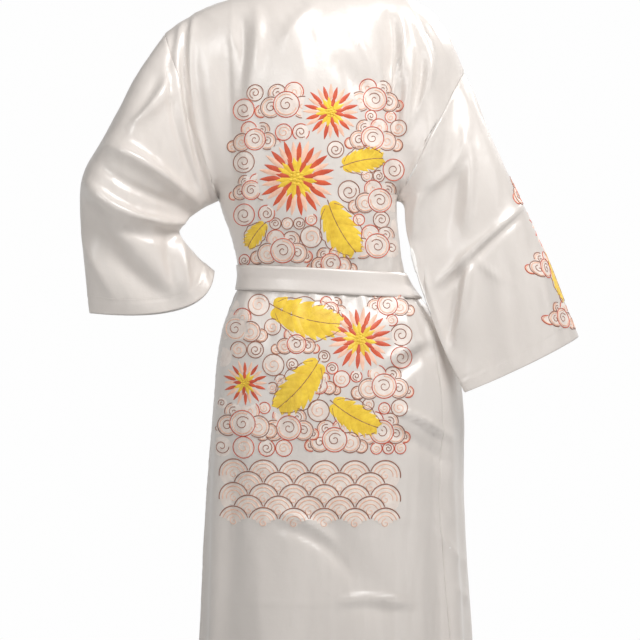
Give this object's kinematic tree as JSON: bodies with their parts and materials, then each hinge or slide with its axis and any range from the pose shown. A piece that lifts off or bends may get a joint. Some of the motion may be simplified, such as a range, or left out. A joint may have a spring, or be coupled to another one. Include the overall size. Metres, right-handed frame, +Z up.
{
  "type": "satin kimono robe",
  "caption": "Long hollow satin kimono robe as worn, one sleeve bent at the hip and one hanging, lapped front, neck band and tied sash belt.",
  "frame": {"origin": "middle of the neck opening, level with the shoulder seams, where the wearer's shoulders hold the robe", "axes": "+X towards the wearer's left, +Y behind the back, +Z up"},
  "size_m": [0.799, 0.3148, 1.3283],
  "materials": {
    "satin": "glossy warm white satin",
    "band_satin": "glossy warm white satin, doubled",
    "belt_satin": "glossy warm white satin, doubled",
    "gold_thread": "shiny golden yellow satin stitch",
    "red_thread": "red-orange satin stitch",
    "peach_thread": "pale peach satin stitch",
    "brown_thread": "brown outline stitch"
  },
  "bodies": {
    "root": {"back": "satin", "front_left": "satin", "front_right": "satin", "sleeve_left": "satin", "sleeve_right": "satin", "neck_band": "band_satin", "belt": "belt_satin", "belt_knot": "belt_satin", "belt_tail_left": "belt_satin", "belt_tail_right": "belt_satin"}
  },
  "joints": []
}
